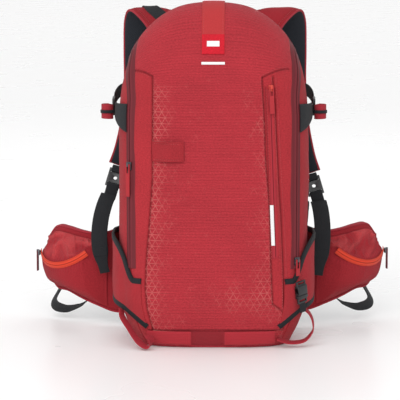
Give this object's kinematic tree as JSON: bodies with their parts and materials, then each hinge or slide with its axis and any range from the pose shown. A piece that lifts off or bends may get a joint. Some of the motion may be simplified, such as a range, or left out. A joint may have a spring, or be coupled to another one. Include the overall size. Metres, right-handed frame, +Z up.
{
  "type": "ski touring backpack",
  "caption": "Clamshell ski backpack with zipped front panel, shoulder straps, hip belt with zipped pockets, and ski and axe loops.",
  "frame": {"origin": "middle of the base panel's lower face, where the pack stands", "axes": "+Z up, +X to the right of someone who looks at the front panel, +Y from the front panel towards the wearer's back"},
  "size_m": [0.5758, 0.3253, 0.5214],
  "materials": {
    "shell_fabric": "woven ripstop, coated inside",
    "belt_fabric": "plain woven",
    "lining_mesh": "open mesh over foam",
    "black_webbing": "ribbed webbing",
    "red_webbing": "ribbed webbing",
    "main_zip_tape": "coated coil zip",
    "bright_zip_tape": "coated coil zip",
    "black_plastic": "fine moulded grain",
    "frame_plastic": "smooth sheet",
    "zip_metal": "painted die-cast",
    "frame_metal": "satin",
    "pull_cord": "cord with a moulded end"
  },
  "bodies": {
    "pack": {"base_panel": "shell_fabric", "lower_front_panel": "shell_fabric", "side_gusset_left": "shell_fabric", "side_gusset_right": "shell_fabric", "back_fabric_panel": "lining_mesh", "back_pads": "lining_mesh", "frame_sheet": "frame_plastic", "frame_stays": "frame_metal", "tool_divider": "lining_mesh", "main_zip_rear_tape": "main_zip_tape", "compression_tabs": "black_webbing", "compression_webbings": "black_webbing", "compression_ladderlocks": "black_plastic", "compression_tails": "red_webbing", "ski_loop_left": "shell_fabric", "ski_loop_right": "shell_fabric", "ski_buckle_socket": "black_plastic", "base_webbing": "red_webbing", "axe_loop_left": "red_webbing", "axe_loop_right": "red_webbing", "haul_loop": "black_webbing", "anchor_webbing_left": "black_webbing", "anchor_webbing_right": "black_webbing", "strap_tail_left": "black_webbing", "strap_tail_right": "black_webbing"},
    "front_panel": {"front_shell": "shell_fabric", "main_zip_front_tape": "main_zip_tape", "centre_strip": "shell_fabric", "front_pocket_zip": "bright_zip_tape", "axe_shaft_keeper": "shell_fabric"},
    "front_pocket_slider": {"front_pocket_slider": "zip_metal"},
    "front_pocket_pull": {"front_pocket_pull": "pull_cord"},
    "main_slider_left": {"main_slider_left": "zip_metal"},
    "main_pull_left": {"main_pull_left": "pull_cord"},
    "main_slider_right": {"main_slider_right": "zip_metal"},
    "main_pull_right": {"main_pull_right": "pull_cord"},
    "ski_strap": {"ski_buckle_plug": "black_plastic", "ski_webbing": "black_webbing"},
    "shoulder_left": {"shoulder_strap_left": "shell_fabric", "strap_adjuster_left": "black_plastic"},
    "chest_strap_left": {"chest_webbing_left": "black_webbing", "chest_buckle_socket": "black_plastic"},
    "hip_wing_left": {"hip_wing_left": "belt_fabric", "belt_pocket_left": "shell_fabric", "belt_pocket_zip_left": "bright_zip_tape", "belt_webbing_left": "black_webbing", "belt_buckle_socket": "black_plastic"},
    "belt_pocket_slider_left": {"belt_pocket_slider_left": "zip_metal"},
    "belt_pocket_pull_left": {"belt_pocket_pull_left": "pull_cord"},
    "shoulder_right": {"shoulder_strap_right": "shell_fabric", "strap_adjuster_right": "black_plastic"},
    "chest_strap_right": {"chest_webbing_right": "black_webbing", "chest_buckle_plug": "black_plastic"},
    "hip_wing_right": {"hip_wing_right": "belt_fabric", "belt_pocket_right": "shell_fabric", "belt_pocket_zip_right": "bright_zip_tape", "belt_webbing_right": "black_webbing", "belt_buckle_plug": "black_plastic"},
    "belt_pocket_slider_right": {"belt_pocket_slider_right": "zip_metal"},
    "belt_pocket_pull_right": {"belt_pocket_pull_right": "pull_cord"}
  },
  "joints": [
    {"name": "front_panel_open", "type": "hinge", "parent": "pack", "child": "front_panel", "pos_m": [0, -0.104, 0.122], "axis": [1, 0, 0], "range_deg": [0, 80]},
    {"name": "main_slider_left_slide", "type": "slide", "parent": "front_panel", "child": "main_slider_left", "axis": [0, 0, 1], "range_m": [-0.144, 0.088]},
    {"name": "main_pull_left_swing", "type": "hinge", "parent": "main_slider_left", "child": "main_pull_left", "pos_m": [-0.12826, -0.08527, 0.28], "axis": [-0.76, 0.65, 0], "range_deg": [0, 150]},
    {"name": "main_slider_right_slide", "type": "slide", "parent": "front_panel", "child": "main_slider_right", "axis": [0, 0, 1], "range_m": [0, 0.232]},
    {"name": "main_pull_right_swing", "type": "hinge", "parent": "main_slider_right", "child": "main_pull_right", "pos_m": [0.12826, -0.08527, 0.136], "axis": [-0.76, -0.65, 0], "range_deg": [0, 150]},
    {"name": "front_pocket_slider_slide", "type": "slide", "parent": "front_panel", "child": "front_pocket_slider", "axis": [-0.038, -0.007, 0.9993], "range_m": [-0.24, 0]},
    {"name": "front_pocket_pull_swing", "type": "hinge", "parent": "front_pocket_slider", "child": "front_pocket_pull", "pos_m": [0.08658, -0.10417, 0.39802], "axis": [-0.9647, -0.2605, -0.0385], "range_deg": [0, 150]},
    {"name": "shoulder_strap_left_swing", "type": "hinge", "parent": "pack", "child": "shoulder_left", "pos_m": [-0.06, 0.092, 0.44], "axis": [1, 0, 0], "range_deg": [0, 15]},
    {"name": "chest_strap_left_swing", "type": "hinge", "parent": "shoulder_left", "child": "chest_strap_left", "pos_m": [-0.116, 0.189, 0.378], "axis": [0, -1, 0], "range_deg": [-20, 90]},
    {"name": "shoulder_strap_right_swing", "type": "hinge", "parent": "pack", "child": "shoulder_right", "pos_m": [0.06, 0.092, 0.44], "axis": [1, 0, 0], "range_deg": [0, 15]},
    {"name": "chest_strap_right_swing", "type": "hinge", "parent": "shoulder_right", "child": "chest_strap_right", "pos_m": [0.116, 0.189, 0.378], "axis": [0, 1, 0], "range_deg": [-20, 90]},
    {"name": "hip_wing_left_fold", "type": "hinge", "parent": "pack", "child": "hip_wing_left", "pos_m": [-0.103, 0.095, 0.105], "axis": [0, 0, -1], "range_deg": [0, 40]},
    {"name": "belt_pocket_slider_left_slide", "type": "hinge", "parent": "hip_wing_left", "child": "belt_pocket_slider_left", "pos_m": [-0.225, 0.155, 0.147], "axis": [0.5429, 0.4719, -0.6947], "range_deg": [-96, 0]},
    {"name": "belt_pocket_pull_left_swing", "type": "hinge", "parent": "belt_pocket_slider_left", "child": "belt_pocket_pull_left", "pos_m": [-0.29069, 0.16818, 0.11067], "axis": [0.1968, 0.9804, 0], "range_deg": [0, 150]},
    {"name": "hip_wing_right_fold", "type": "hinge", "parent": "pack", "child": "hip_wing_right", "pos_m": [0.094, 0.095, 0.11], "axis": [0, 0, 1], "range_deg": [0, 40]},
    {"name": "belt_pocket_slider_right_slide", "type": "hinge", "parent": "hip_wing_right", "child": "belt_pocket_slider_right", "pos_m": [0.216, 0.155, 0.152], "axis": [0.5429, -0.4719, 0.6947], "range_deg": [-96, 0]},
    {"name": "belt_pocket_pull_right_swing", "type": "hinge", "parent": "belt_pocket_slider_right", "child": "belt_pocket_pull_right", "pos_m": [0.28169, 0.16818, 0.11567], "axis": [0.1968, -0.9804, 0], "range_deg": [0, 150]},
    {"name": "ski_buckle_release", "type": "slide", "parent": "pack", "child": "ski_strap", "axis": [0.099, 0.099, -0.9901], "range_m": [0, 0.03]}
  ]
}
